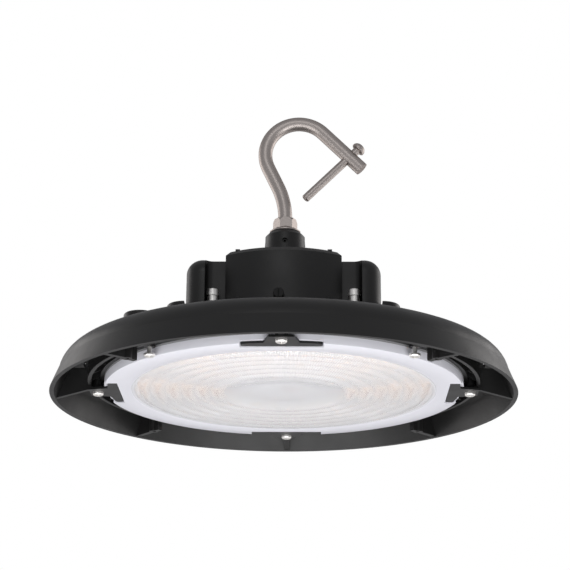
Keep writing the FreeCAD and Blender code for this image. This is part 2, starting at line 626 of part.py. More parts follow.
coverScrewPlaces = [(sx * mm("coverScrewX"), sy * mm("coverScrewY")) for sx in (-1, 1) for sy in (-1, 1)]


def boxForm(inset, foot, shoulder, top, pocket=None):
    """The box's form, drawn in by `inset`: two ears, a taller round middle and, grown by `pocket`, screw channels."""
    halfX = mm("boxHalfX") - inset
    halfY = mm("boxHalfY") - inset
    rounding = mm("boxRound") - inset
    ears = Part.makeBox(2 * halfX, 2 * halfY, shoulder - foot, Vector(-halfX, -halfY, foot))
    corners = [e for e in ears.Edges if abs(e.BoundBox.ZLength - (shoulder - foot)) < 1e-6]
    ears = ears.makeFillet(rounding + 0.5, corners)
    ears = ears.makeFillet(rounding, [e for e in ears.Edges if e.BoundBox.ZMin > shoulder - 1e-6])
    if pocket is not None:
        radius = mm("channelRadius") + pocket
        reach = 2 * halfY
        cuts = []
        for x, y in mountPlaces:
            cuts.append(Part.makeCylinder(radius, shoulder - foot + 2, Vector(x, y, foot - 1)))
            cuts.append(Part.makeBox(2 * radius, reach, shoulder - foot + 2,
                                     Vector(x - radius, y if y > 0 else y - reach, foot - 1)))
        back = mm("channelY") - radius
        for y in (back, -back - reach):
            cuts.append(Part.makeBox(2 * mm("channelX"), reach, shoulder - foot + 2, Vector(-mm("channelX"), y, foot - 1)))
        ears = ears.cut(cuts)
    middle = mm("boxMiddle") - inset
    drum = Part.makeCylinder(mm("drumRadius") - inset, top - foot, Vector(0, 0, foot)).common(
        Part.makeBox(2 * middle, 4 * halfY, top - foot, Vector(-middle, -2 * halfY, foot)))
    drum = drum.makeChamfer(mm("drumEdge"), [e for e in drum.Edges if e.BoundBox.ZMin > top - 1e-6])
    return ears.fuse(drum).removeSplitter()


def coverShape():
    wall = mm("boxWall")
    foot = mm("boxFoot")
    top = mm("boxTop")
    drum = mm("drumRadius")
    outer = boxForm(0, foot, mm("boxShoulder"), top, 0)
    inner = boxForm(wall, foot - 1, mm("boxShoulder") - wall, top - wall, mm("channelWall"))
    crown = Part.makeCone(mm("crownRadius"), mm("neckRadius"), mm("crownTop") - top + 1, Vector(0, 0, top - 1))
    neck = Part.makeCylinder(mm("neckRadius"), mm("neckShoulder") - mm("crownTop") + 2,
                             Vector(0, 0, mm("crownTop") - 2))
    taper = Part.makeCone(mm("neckRadius"), mm("neckTopRadius"), mm("neckTop") - mm("neckShoulder"),
                          Vector(0, 0, mm("neckShoulder")))
    gland = Vector(mm("glandX"), mm("glandSeatY") - mm("drumRadius") / 8, mm("glandHeight"))
    pad = Part.makeCylinder(mm("glandPad"), mm("glandSeatY") - gland.y, gland, Vector(0, 1, 0))
    solid = outer.fuse(pad).cut(inner).fuse([crown, neck, taper])
    extras = []
    for x, y in coverScrewPlaces:
        post = Part.makeCylinder(mm("coverPost"), mm("boxShoulder") - foot - 1, Vector(x, y, foot))
        extras.append(post.common(outer))
    ribHalf = math.sqrt(drum ** 2 - mm("ribX") ** 2) - mm("drumEdge") - 1
    for side in (-1, 1):
        at = Vector(side * mm("ribX") - mm("ribWidth") / 2, -ribHalf, top - mm("ribHeight"))
        extras.append(Part.makeBox(mm("ribWidth"), 2 * ribHalf, 2 * mm("ribHeight"), at))
    solid = solid.fuse(extras)
    holes = [Part.makeCylinder(mm("hookRadius") + mm("threadClearance"), mm("neckTop"),
                               Vector(0, 0, mm("hookFoot") - 2))]
    for x, y in coverScrewPlaces:
        holes.append(Part.makeCylinder(1.5 + mm("threadClearance"), 14, Vector(x, y, foot)))
    holes.append(Part.makeBox(2 * mm("windowHalfWidth"), drum / 2, mm("windowTop") - mm("windowFoot"),
                              Vector(-mm("windowHalfWidth"), -1.25 * drum, mm("windowFoot"))))
    for angle in panelScrewAngles:
        seat = around(drum + 1, angle, panelScrewHeight)
        inward = around(-1, angle)
        holes.append(Part.makeCylinder(mm("panelScrewRadius") + mm("threadClearance"), wall * 3, seat, inward))
    reach = mm("crownRadius")
    holes.append(Part.makeCylinder(mm("setScrewRadius") + mm("threadClearance"), reach,
                                   Vector(0, -reach, mm("setScrewHeight")), Vector(0, 1, 0)))
    holes.append(Part.makeCylinder(mm("glandThread") + 0.2, wall * 6, gland, Vector(0, 1, 0)))
    holes.append(Part.makeCylinder(mm("glandPad") - 0.4, wall * 6, Vector(gland.x, glandInside - wall * 6, gland.z),
                                   Vector(0, 1, 0)))
    return solid.cut(holes).removeSplitter()


glandInside = mm("glandSeatY") - mm("boxWall")
panelScrewTurn = math.degrees(math.asin((mm("windowHalfWidth") + mm("panelScrewInset")) / mm("drumRadius")))
panelScrewAngles = (-panelScrewTurn, panelScrewTurn)
panelScrewHeight = mm("panelScrewHeight")
feature("driver_cover", coverShape())


def lidOutline(inset, foot, height, pocket=None):
    form = boxForm(inset, foot, foot + 30, foot + 34, pocket)
    return form.common(Part.makeBox(400, 400, height, Vector(-200, -200, foot)))


def baseShape():
    foot = mm("finCrown") + mm("baseGap")
    plate = lidOutline(0, foot, mm("basePlate"))
    posts = []
    for sx in (-1, 1):
        for sy in (-1, 1):
            posts.append(Part.makeCylinder(mm("pcbPost"), mm("pcbHeight") - foot - 1,
                                           Vector(sx * mm("pcbScrewX"), sy * mm("pcbScrewY"), foot + 1)))
    holes = [Part.makeCylinder(mm("wireBore"), 20, Vector(0, 0, foot - 5))]
    for x, y in mountPlaces:
        holes.append(Part.makeCylinder(mm("boltRadius") + 0.25, 20, Vector(x, y, foot - 5)))
    for x, y in coverScrewPlaces:
        holes.append(Part.makeCylinder(1.7, 20, Vector(x, y, foot - 5)))
        holes.append(Part.makeCone(3.2, 1.7, 1.5, Vector(x, y, foot)))
    for sx in (-1, 1):
        for sy in (-1, 1):
            holes.append(Part.makeCylinder(1.25 + mm("threadClearance"), 7,
                                           Vector(sx * mm("pcbScrewX"), sy * mm("pcbScrewY"), mm("pcbHeight") - 6)))
    return plate.fuse(posts).cut(holes).removeSplitter()


feature("driver_base", baseShape())

baseTop = mm("finCrown") + mm("baseGap") + mm("basePlate")


def sealShape():
    """The seal between the base plate and the cover: the box's wall in plan, with the screw posts."""
    outer = lidOutline(0.3, baseTop, mm("sealThickness"), 0.3)
    inner = lidOutline(mm("boxWall") - 0.2, baseTop - 1, mm("sealThickness") + 2, mm("channelWall") + 0.2)
    posts = [Part.makeCylinder(mm("coverPost"), mm("sealThickness"), Vector(x, y, baseTop)) for x, y in coverScrewPlaces]
    holes = [Part.makeCylinder(1.8, 10, Vector(x, y, baseTop - 5)) for x, y in coverScrewPlaces]
    return outer.cut(inner).fuse(posts).common(outer).cut(holes).removeSplitter()


feature("driver_seal", sealShape())
feature("cover_screws", Part.makeCompound([
    screw(Part.makeCone(3.0, 1.55, 1.45).mirror(Vector(0, 0, 0), Up).translated(Vector(0, 0, 1.45)), 1.5, 14.0,
          Vector(x, y, mm("finCrown") + mm("baseGap") + 1.45)) for x, y in coverScrewPlaces]))

spacers = []
spacerFoot = "dims.finCrown + dims.baseGap + dims.basePlate"
for i, (x, y) in enumerate(mountPlaces):
    at = (str(x), str(y))
    stack = fuse("spacer_stack_%d" % i, [
        cylinder("spacer_outside_%d" % i, "dims.spacerRadius", "dims.spacerTop - (%s)" % spacerFoot, *at, spacerFoot),
        cylinder("lower_washer_%d" % i, "dims.washerRadius", "dims.washerThickness", *at, spacerFoot),
        cylinder("upper_washer_%d" % i, "dims.washerRadius", "dims.washerThickness", *at,
                 "dims.spacerTop - dims.washerThickness")])
    inside = cylinder("spacer_inside_%d" % i, "dims.boltRadius + 0.15", "dims.spacerTop", *at, "dims.finCrown - 5")
    spacers.append(cut("spacer_%d" % i, stack, inside))
finish(group("spacer_set", spacers), "mounting_spacers")
boltLength = mm("spacerTop") - mm("finCrown") + mm("boltDepth") - 1
feature("mounting_bolts", Part.makeCompound([
    screw(hexHead(mm("boltHeadRadius"), mm("boltHeadHeight"), 2.0), mm("boltRadius"), boltLength,
          Vector(x, y, mm("spacerTop")), Up) for x, y in mountPlaces]))

# front panel over the opening in the cover

sealRadius = "dims.drumRadius + dims.panelSealThickness"
window = block("panel_seal_window", "2 * dims.windowHalfWidth", "dims.drumRadius", "dims.windowTop - dims.windowFoot",
               "-dims.windowHalfWidth", "-1.5 * dims.drumRadius", "dims.windowFoot")
sealHeight = "dims.windowTop - dims.windowFoot + 4"
panelSeal = shared("panel_seal_sheet", [
    ring("panel_seal_ring", sealRadius, "dims.drumRadius", sealHeight, "dims.windowFoot - 2"),
    block("panel_seal_field", "2 * dims.panelHalfWidth - 1", "dims.drumRadius", sealHeight,
          "0.5 - dims.panelHalfWidth", "-1.5 * dims.drumRadius", "dims.windowFoot - 2")])
panelHeight = "dims.panelTop - dims.panelFoot"
panel = shared("panel_sheet", [
    ring("panel_ring", sealRadius + " + dims.panelThickness", sealRadius, panelHeight, "dims.panelFoot"),
    block("panel_field", "2 * dims.panelHalfWidth", "dims.drumRadius", panelHeight,
          "-dims.panelHalfWidth", "-1.5 * dims.drumRadius", "dims.panelFoot")])
panelHoles = []
sealHoles = []
for index, angle in enumerate(panelScrewAngles):
    at = around(mm("drumRadius") - 5, angle, panelScrewHeight)
    outward = FreeCAD.Rotation(Up, around(1, angle))
    for name, holes in (("panel_hole", panelHoles), ("panel_seal_hole", sealHoles)):
        holes.append(cylinder("%s_%d" % (name, index), "dims.panelScrewRadius + 0.2", "20",
                              str(at.x), str(at.y), str(at.z), outward))
forward = FreeCAD.Rotation(Vector(1, 0, 0), 90)
ventHole = cylinder("vent_hole", "dims.ventRadius - 1.2", "20", "dims.ventX", "5 - dims.drumRadius",
                    "dims.ventHeight", forward)
finish(cut("panel_seal_cut", panelSeal, fuse("panel_seal_holes", [window] + sealHoles)), "panel_seal")
finish(cut("panel_cut", panel, fuse("panel_holes", panelHoles + [ventHole])), "front_panel")
panelRadius = mm("drumRadius") + mm("panelSealThickness") + mm("panelThickness")
panelFace = -panelRadius
feature("panel_screws", Part.makeCompound([
    screw(panHead(2.3, 1.4), mm("panelScrewRadius"), 8.0, around(panelRadius, angle, panelScrewHeight),
          around(1, angle)) for angle in panelScrewAngles]))


def ventShape():
    at = Vector(mm("ventX"), panelFace, mm("ventHeight"))
    outward = Vector(0, -1, 0)
    cap = Part.makeCylinder(mm("ventRadius"), mm("ventLength"), at, outward)
    rim = [e for e in cap.Edges if abs(e.BoundBox.YMin - (panelFace - mm("ventLength"))) < 1e-6 and e.BoundBox.YLength < 1e-6]
    cap = cap.makeFillet(0.8, rim)
    stem = Part.makeCylinder(mm("ventRadius") - 1.25, mm("panelThickness") + 3, at, Vector(0, 1, 0))
    grips = [Part.makeBox(1.0, 2.4, 12, Vector(at.x - 0.5, panelFace - mm("ventLength") - 0.2, at.z - 6)).common(cap)]
    return cap.fuse(stem).cut([g for g in grips if g.Volume > 0.1]).removeSplitter()


feature("vent_plug", ventShape())

# cable gland on the back wall


def hexagon(cornerRadius, z):
    corners = [Vector(cornerRadius * math.cos(math.radians(a)), cornerRadius * math.sin(math.radians(a)), z)
               for a in range(30, 391, 60)]
    return Part.Face(Part.makePolygon(corners))


def toBack(shape, y):
    """Lay a shape built along Z so that it points backwards (+Y) from the plane y."""
    shape.Placement = FreeCAD.Placement(Vector(mm("glandX"), y, mm("glandHeight")), FreeCAD.Rotation(Vector(1, 0, 0), -90))
    return shape


backFace = mm("glandSeatY")
backInside = glandInside
bore = Part.makeCylinder(mm("glandBore"), 60, Vector(0, 0, -20))
bodyHex = hexagon(mm("glandHex"), 0.8).extrude(Vector(0, 0, 5.2)).common(Part.makeCylinder(mm("glandHex") - 0.7, 6))
bodyThread = Part.makeCylinder(mm("glandThread"), 11.0, Vector(0, 0, -9.6))
bodyTail = Part.makeCylinder(mm("glandThread") + 0.6, 9.0, Vector(0, 0, 5.0))
tailSeat = Part.makeCone(mm("glandBore"), mm("glandBore") + 1.9, 6.2, Vector(0, 0, 7.9))
feature("gland_body", toBack(bodyHex.fuse([bodyThread, bodyTail]).cut([bore, tailSeat]), backFace))
sealRing = Part.makeCylinder(mm("glandHex") - 1.4, 0.8).cut(Part.makeCylinder(mm("glandThread") + 0.1, 1))
feature("gland_washer", toBack(sealRing, backFace))
capHex = hexagon(mm("glandHex"), 6.4).extrude(Vector(0, 0, 7.0)).common(Part.makeCylinder(mm("glandHex") - 0.7, 30))
capDome = Part.makeCone(mm("glandHex") - 1.9, mm("glandBore") + 2.6, 4.0, Vector(0, 0, 13.4))
capHollow = Part.makeCylinder(mm("glandThread") + 0.7, 9.0, Vector(0, 0, 6.0))
capBore = Part.makeCylinder(mm("glandBore") + 0.6, 40)
feature("gland_cap", toBack(capHex.fuse(capDome).cut([capHollow, capBore]), backFace))
plug = Part.makeCone(mm("glandBore"), mm("glandBore") + 1.7, 5.6, Vector(0, 0, 8.2))
feature("gland_seal", toBack(plug.cut(Part.makeCylinder(mm("glandBore") - 1.4, 30)), backFace))
lockNut = hexagon(mm("glandHex") - 0.6, -backFace + backInside - 4.2).extrude(Vector(0, 0, 4.0))
feature("gland_locknut", toBack(lockNut.cut(Part.makeCylinder(mm("glandThread") + 0.05, 30, Vector(0, 0, -20))), backFace))

# driver electronics

pcbTop = mm("pcbHeight") + mm("pcbThickness")
tallest = mm("boxTop") - mm("boxWall") - mm("ceilingGap") - pcbTop


def pcbShape():
    board = Part.makeBox(2 * mm("pcbHalfX"), 2 * mm("pcbHalfY"), mm("pcbThickness"),
                         Vector(-mm("pcbHalfX"), -mm("pcbHalfY"), mm("pcbHeight")))
    holes = [Part.makeCylinder(1.5, 10, Vector(sx * mm("pcbScrewX"), sy * mm("pcbScrewY"), mm("pcbHeight") - 5))
             for sx in (-1, 1) for sy in (-1, 1)]
    holes += [Part.makeCylinder(mm("leadRadius") + 0.1, 10, Vector(0, s * mm("leadSpacing") / 2, mm("pcbHeight") - 5)) for s in (-1, 1)]
    return board.cut(holes)


feature("driver_pcb", pcbShape())
feature("pcb_screws", Part.makeCompound([
    screw(panHead(2.4, 1.4), 1.25, 6.5, Vector(sx * mm("pcbScrewX"), sy * mm("pcbScrewY"), pcbTop), Up)
    for sx in (-1, 1) for sy in (-1, 1)]))


def transformerShape():
    core = Part.makeBox(26, 8, tallest - 1, Vector(-13, -4, 0)).cut(Part.makeBox(17, 10, 11, Vector(-8.5, -5, 4.5)))
    leg = Part.makeBox(6, 8, 12, Vector(-3, -4, 4))
    winding = Part.makeBox(16.8, 20, 10.8, Vector(-8.4, -10, 4.6))
    feet = [Part.makeBox(16.8, 4, 5, Vector(-8.4, y, 0)) for y in (-11, 7)]
    bobbin = Part.makeBox(16.8, 22, 1.6, Vector(-8.4, -11, 0))
    return core.fuse([leg, winding, bobbin] + feet).removeSplitter()


feature("transformer", transformerShape().translated(Vector(-20, -6, pcbTop)))


def canShape(radius, height, at):
    can = Part.makeCylinder(radius, height, at)
    return can.makeFillet(radius * 0.15, [can.Edges[0]])


feature("capacitors", Part.makeCompound([
    canShape(6.3, tallest, Vector(14, 18, pcbTop)),
    canShape(6.3, tallest, Vector(29, 18, pcbTop)),
    canShape(4.0, tallest - 7, Vector(2, -22, pcbTop))]))
choke = Part.makeTorus(7.2, 3.4, Vector(30, -8, pcbTop + 3.4)).fuse(
    Part.makeCylinder(9.4, 1.2, Vector(30, -8, pcbTop)))
feature("line_choke", choke)
filmCase = Part.makeBox(15, 6.5, 12, Vector(-36, 18, pcbTop))
feature("suppression_capacitor", filmCase.makeChamfer(0.6, filmCase.Edges))
sinkHeight = tallest - 3
sinkPlate = Part.makeBox(2.0, 26, sinkHeight, Vector(10, -26, pcbTop))
sinkFlange = Part.makeBox(8, 26, 1.6, Vector(10, -26, pcbTop + sinkHeight - 1.6))
feature("driver_heat_plate", sinkPlate.fuse(sinkFlange).removeSplitter())
feature("power_transistors", Part.makeCompound([
    Part.makeBox(4.4, 9, 13, Vector(5.6, y, pcbTop + 1)) for y in (-15.0, )] + [
    Part.makeBox(4.4, 9, 13, Vector(12.0, y, pcbTop + 1)) for y in (-25.0, -13.0)]))
feature("mains_terminal", Part.makeBox(20, 9, 9, Vector(-12, 24.0, pcbTop)).cut(
    [Part.makeCylinder(1.8, 7, Vector(-7.5 + 5.5 * i, 34, pcbTop + 4.2), Vector(0, -1, 0)) for i in range(3)]))

# hook, locking nut, set screw and gate screw


def hookPath():
    """The rod's centre line in the XZ plane, and the start and direction of its straight arm."""
    sway = math.radians(mm("hookSway"))
    swayRadius = mm("hookSwayRadius")
    foot = Vector(0, 0, mm("hookFoot"))
    straightTop = Vector(0, 0, mm("hookStraightTop"))

    def swayPoint(angle):
        return Vector(-swayRadius * (1 - math.cos(angle)), 0, straightTop.z + swayRadius * math.sin(angle))

    swayEnd = swayPoint(sway)
    lean = Vector(-math.sin(sway), 0, math.cos(sway))
    bowStart = swayEnd + lean * mm("hookLean")
    bow = mm("hookBow")
    centre = bowStart + Vector(math.cos(sway), 0, math.sin(sway)) * bow

    def bowPoint(degrees):
        a = math.radians(degrees)
        return centre + Vector(math.cos(a), 0, math.sin(a)) * bow

    armStart = bowPoint(45)
    armWay = Vector(math.sqrt(0.5), 0, -math.sqrt(0.5))
    armEnd = armStart + armWay * mm("hookArm")
    startAngle = 180 + mm("hookSway")
    path = Part.Wire([
        Part.LineSegment(foot, straightTop).toShape(),
        Part.Arc(straightTop, swayPoint(sway / 2), swayEnd).toShape(),
        Part.LineSegment(swayEnd, bowStart).toShape(),
        Part.Arc(bowStart, bowPoint((startAngle + 45) / 2), armStart).toShape(),
        Part.LineSegment(armStart, armEnd).toShape()])
    return path, armStart, armWay


rodPath, armStart, armWay = hookPath()
gateWay = Vector(math.sqrt(0.5), 0, math.sqrt(0.5))  # out of the arm, away from the bow's middle
gateCentre = armStart + armWay * mm("gateAlongArm")


def hookShape():
    section = Part.Wire(Part.makeCircle(mm("hookRadius"), Vector(0, 0, mm("hookFoot")), Up))
    rod = rodPath.makePipeShell([section], True, False)
    ends = [e for e in rod.Edges if e.Curve.TypeId == "Part::GeomCircle" and e.BoundBox.DiagonalLength > 0
            and (e.BoundBox.ZMax < mm("hookFoot") + 0.01)]
    rod = rod.makeChamfer(0.8, ends)
    bore = Part.makeCylinder(mm("gateRadius") + mm("gateClearance"), 40, gateCentre - gateWay * 20, gateWay)
    return rod.cut(bore)


feature("hook", hookShape())


def nutShape():
    foot = mm("neckTop")
    flange = Part.makeCone(mm("nutFlange"), mm("nutAcrossFlats") / 2, mm("nutFlangeHeight") + 1.2, Vector(0, 0, foot))
    brim = Part.makeCylinder(mm("nutFlange"), mm("nutFlangeHeight") * 0.5, Vector(0, 0, foot))
    cornerRadius = mm("nutAcrossFlats") / math.sqrt(3)
    hexBody = hexagon(cornerRadius, foot + 0.5).extrude(Vector(0, 0, mm("nutHeight") - 0.5))
    hexBody.rotate(Vector(0, 0, 0), Up, mm("nutTurn"))
    trim = Part.makeCone(cornerRadius + 3, cornerRadius - 0.9, mm("nutHeight"), Vector(0, 0, foot))
    hexBody = hexBody.common(trim)
    bore = Part.makeCylinder(mm("hookRadius") + mm("threadClearance"), 30, Vector(0, 0, foot - 5))
    return flange.fuse([brim, hexBody]).cut(bore).removeSplitter()


feature("locking_nut", nutShape())
setTip = -mm("hookRadius") - mm("threadClearance")
setBody = Part.makeCylinder(mm("setScrewRadius"), mm("neckRadius") - mm("hookRadius") - 1.2,
                            Vector(0, setTip, mm("setScrewHeight")), Vector(0, -1, 0))
socketEnd = setTip - (mm("neckRadius") - mm("hookRadius") - 1.2)
socket = Part.makeCylinder(1.0, 2.2, Vector(0, socketEnd - 0.1, mm("setScrewHeight")), Vector(0, 1, 0))
feature("set_screw", setBody.cut(socket))


def gateScrewShape():
    seat = gateCentre + gateWay * (mm("hookRadius") + mm("gateHeadGap"))
    radius, rim, top = mm("gateHeadRadius"), mm("gateHeadRim"), mm("gateHeadHeight")
    bulge = Vector(radius * 0.74, 0, rim + (top - rim) * 0.68)
    side = Part.Wire([
        Part.LineSegment(Vector(0, 0, 0), Vector(radius - 0.4, 0, 0)).toShape(),
        Part.LineSegment(Vector(radius - 0.4, 0, 0), Vector(radius, 0, 0.4)).toShape(),
        Part.LineSegment(Vector(radius, 0, 0.4), Vector(radius, 0, rim)).toShape(),
        Part.Arc(Vector(radius, 0, rim), bulge, Vector(0, 0, top)).toShape(),
        Part.LineSegment(Vector(0, 0, top), Vector(0, 0, 0)).toShape()])
    head = Part.Face(side).revolve(Vector(0, 0, 0), Up, 360)
    slot = Part.makeBox(12, 1.6, 3, Vector(-6, -0.8, top - 1.2))
    collar = Part.makeCylinder(mm("gateRadius"), mm("gateLength"), Vector(0, 0, 0), Vector(0, 0, -1))
    collar = collar.makeChamfer(0.7, [e for e in collar.Edges if e.BoundBox.ZMax < -mm("gateLength") + 0.01])
    shape = head.cut(slot).fuse(collar).removeSplitter()
    shape.Placement = FreeCAD.Placement(seat, FreeCAD.Rotation(Up, gateWay))
    return shape


feature("gate_screw", gateScrewShape())
print("hook top", round(doc.getObject("hook").Shape.BoundBox.ZMax, 1))
print("gate axis point", gateCentre, "out", gateWay)

# check and write

doc.recompute()
for obj in doc.Objects:
    if "Invalid" in obj.State or "Error" in obj.State:
        raise SystemExit("%s failed: %s" % (obj.Name, obj.State))
for obj in nodes:
    if obj.Shape.isNull() or not obj.Shape.isValid() or not obj.Shape.Solids:
        raise SystemExit("%s has no valid solid" % obj.Label)
os.makedirs("parts", exist_ok=True)
for obj in nodes:
    obj.Shape.exportStep("parts/%s.step" % obj.Label)
    print("%-20s %3d solids %9.1f mm3" % (obj.Label, len(obj.Shape.Solids), obj.Shape.Volume))
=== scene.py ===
import json
import math
import bmesh
import bpy
from mathutils import Matrix, Vector


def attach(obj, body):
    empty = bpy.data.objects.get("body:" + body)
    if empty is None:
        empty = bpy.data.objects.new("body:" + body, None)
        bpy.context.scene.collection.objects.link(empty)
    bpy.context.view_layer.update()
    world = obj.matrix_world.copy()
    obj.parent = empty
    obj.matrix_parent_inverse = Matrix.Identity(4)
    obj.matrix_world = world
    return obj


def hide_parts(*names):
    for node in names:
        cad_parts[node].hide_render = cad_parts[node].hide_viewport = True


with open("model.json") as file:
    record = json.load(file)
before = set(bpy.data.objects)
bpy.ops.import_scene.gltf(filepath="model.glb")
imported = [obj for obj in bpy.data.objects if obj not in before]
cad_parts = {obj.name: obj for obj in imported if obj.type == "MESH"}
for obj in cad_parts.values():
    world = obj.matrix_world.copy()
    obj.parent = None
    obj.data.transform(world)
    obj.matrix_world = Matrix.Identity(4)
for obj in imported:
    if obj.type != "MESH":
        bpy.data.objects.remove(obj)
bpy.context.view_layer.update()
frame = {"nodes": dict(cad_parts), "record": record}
print("frame loaded:", len(frame["nodes"]), "nodes")

# studio: lengths in m, lamps in W

studio = {
    "floorDrop": 0.62,        # the light hangs, so the floor lies this far below its lower edge
    "floorSize": 9.0,
    "floorColour": (0.93, 0.93, 0.93, 1),
    "floorRoughness": 0.8,
    "cameraPlace": (0.01696, -1.11659, -0.29119),
    "cameraPitch": 18.536,    # degrees above level
    "cameraRoll": -0.08,
    "clipStart": 0.01,
    "lens": 105.71,           # mm, on the sensor below
    "sensorWidth": 36,
    "shift": -0.0407,         # the light stands a little left of the optical axis
    "roomLight": (0.42, 0.42, 0.43, 1),
    "backdropColour": (1, 1, 1, 1),
}

lamps = {
    "leftPanel": {"place": (-1.6, 0.9, 0.25), "target": (0, 0, 0.05), "size": (1.4, 1.8),
                  "power": 13, "colour": (1, 0.97, 0.95)},
    "rightPanel": {"place": (1.6, 0.9, 0.25), "target": (0, 0, 0.05), "size": (1.4, 1.8),
                   "power": 15, "colour": (1, 0.97, 0.95)},
    "lowPanel": {"place": (0.0, -0.25, -0.6), "target": (0, 0, 0), "size": (1.7, 1.3),
                 "power": 19, "colour": (1, 1, 1)},
    "frontPanel": {"place": (-0.12, -1.85, 1.0), "target": (0, 0, 0.17), "size": (0.8, 0.6),
                   "power": 3, "colour": (1, 1, 1)},
}


def addToScene(obj):
    bpy.context.scene.collection.objects.link(obj)


def aimCamera():
    camera = bpy.data.objects.new("camera", bpy.data.cameras.new("camera"))
    addToScene(camera)
    camera.data.lens = studio["lens"]
    camera.data.sensor_width = studio["sensorWidth"]
    camera.data.shift_x = studio["shift"]
    camera.data.clip_start = studio["clipStart"]
    camera.location = studio["cameraPlace"]
    level = math.radians(90 + studio["cameraPitch"])
    camera.rotation_euler = (level, math.radians(studio["cameraRoll"]), 0)
    bpy.context.scene.camera = camera


def areaLamp(name, form):
    lamp = bpy.data.lights.new(name, "AREA")
    lamp.shape = "RECTANGLE"
    lamp.size, lamp.size_y = form["size"]
    lamp.energy = form["power"]
    lamp.color = form["colour"]
    obj = bpy.data.objects.new(name, lamp)
    addToScene(obj)
    obj.location = form["place"]
    towards = Vector(form["target"]) - Vector(form["place"])
    obj.rotation_euler = towards.to_track_quat("-Z", "Y").to_euler()


# The camera sees the backdrop, and everything else sees the room light.
def buildWorld():
    world = bpy.data.worlds.new("studio")
    bpy.context.scene.world = world
    world.use_nodes = True
    tree = world.node_tree
    light = tree.nodes["Background"]
    light.inputs["Color"].default_value = studio["roomLight"]
    backdrop = tree.nodes.new("ShaderNodeBackground")
    backdrop.inputs["Color"].default_value = studio["backdropColour"]
    path = tree.nodes.new("ShaderNodeLightPath")
    mix = tree.nodes.new("ShaderNodeMixShader")
    tree.links.new(path.outputs["Is Camera Ray"], mix.inputs[0])
    tree.links.new(light.outputs[0], mix.inputs[1])
    tree.links.new(backdrop.outputs[0], mix.inputs[2])
    tree.links.new(mix.outputs[0], tree.nodes["World Output"].inputs["Surface"])


def buildFloor():
    half = studio["floorSize"] / 2
    z = -studio["floorDrop"]
    corners = [(-half, -half, z), (half, -half, z), (half, half, z), (-half, half, z)]
    mesh = bpy.data.meshes.new("floor")
    mesh.from_pydata(corners, [], [(0, 1, 2, 3)])
    floor = bpy.data.objects.new("floor", mesh)
    addToScene(floor)
    paint = bpy.data.materials.new("floorPaint")
    paint.use_nodes = True
    shader = paint.node_tree.nodes["Principled BSDF"]
    shader.inputs["Base Color"].default_value = studio["floorColour"]
    shader.inputs["Roughness"].default_value = studio["floorRoughness"]
    mesh.materials.append(paint)


bpy.context.scene.view_settings.view_transform = "Standard"
aimCamera()
buildWorld()
buildFloor()
for lampName, lampForm in lamps.items():
    areaLamp(lampName, lampForm)
print("studio ready")


# finishes: every pattern is read from Object coordinates

noiseLow, noiseHigh = 0.3, 0.7              # most of a noise texture's values lie between these
mixFirst, mixSecond, mixResult = 6, 7, 2    # the Mix node's colour sockets


# Short hand for building a material's nodes.
class Graph:
    def __init__(self, name):
        self.material = bpy.data.materials.new(name)
        self.material.use_nodes = True
        self.tree = self.material.node_tree
        self.shader = self.tree.nodes["Principled BSDF"]
        self.place = self.add("ShaderNodeTexCoord").outputs["Object"]

    def add(self, kind, **values):
        node = self.tree.nodes.new(kind)
        for key, value in values.items():
            setattr(node, key, value)
        return node

    def link(self, source, target):
        self.tree.links.new(source, target)

    def math(self, operation, first, second=None, third=None):
        node = self.add("ShaderNodeMath", operation=operation)
        for socket, value in zip(node.inputs, (first, second, third)):
            if value is None:
                continue
            if isinstance(value, (int, float)):
                socket.default_value = value
            else:
                self.link(value, socket)
        return node.outputs[0]

    def noise(self, scale, detail, roughness=0.5, source=None):
        node = self.add("ShaderNodeTexNoise")
        node.inputs["Scale"].default_value = scale
        node.inputs["Detail"].default_value = detail
        node.inputs["Roughness"].default_value = roughness
        self.link(source or self.place, node.inputs["Vector"])
        return node.outputs["Fac"]

    def stretched(self, scale):
        node = self.add("ShaderNodeMapping")
        node.inputs["Scale"].default_value = scale
        self.link(self.place, node.inputs["Vector"])
        return node.outputs["Vector"]

    def span(self, value, low, high, outLow, outHigh):
        node = self.add("ShaderNodeMapRange")
        self.link(value, node.inputs["Value"])
        ends = (("From Min", low), ("From Max", high), ("To Min", outLow), ("To Max", outHigh))
        for name, number in ends:
            node.inputs[name].default_value = number
        return node.outputs["Result"]

    # A gloss that wavers evenly about its middle value.
    def wavering(self, noise, middle, spread):
        return self.span(noise, noiseLow, noiseHigh, middle - spread, middle + spread)

    def blend(self, factor, first, second):
        node = self.add("ShaderNodeMix", data_type="RGBA")
        self.link(factor, node.inputs["Factor"])
        node.inputs[mixFirst].default_value = (*first, 1)
        node.inputs[mixSecond].default_value = (*second, 1)
        return node.outputs[mixResult]

    def bump(self, height, strength, distance):
        node = self.add("ShaderNodeBump")
        node.inputs["Strength"].default_value = strength
        node.inputs["Distance"].default_value = distance
        self.link(height, node.inputs["Height"])
        return node.outputs["Normal"]

    def set(self, **values):
        for key, value in values.items():
            socket = self.shader.inputs[key.replace("_", " ")]
            if isinstance(value, tuple):
                socket.default_value = (*value, 1)
            elif isinstance(value, (int, float)):
                socket.default_value = value
            else:
                self.link(value, socket)


coatGrain = {
    "mottleScale": 35, "mottleDetail": 3,
    "glossScale": 60, "glossDetail": 2, "glossSpread": 0.04,
    "grainDetail": 3, "grainRoughness": 0.6, "grainStrength": 0.12, "grainDepth": 0.0002,
}

metalGrain = {
    "toneScale": 90, "toneDetail": 3,
    "lineScale": 1.0, "lineDetail": 3, "lineRoughness": 0.6, "lineStrength": 0.08, "lineDepth": 0.0001,
    "glossSpread": 0.045,
}


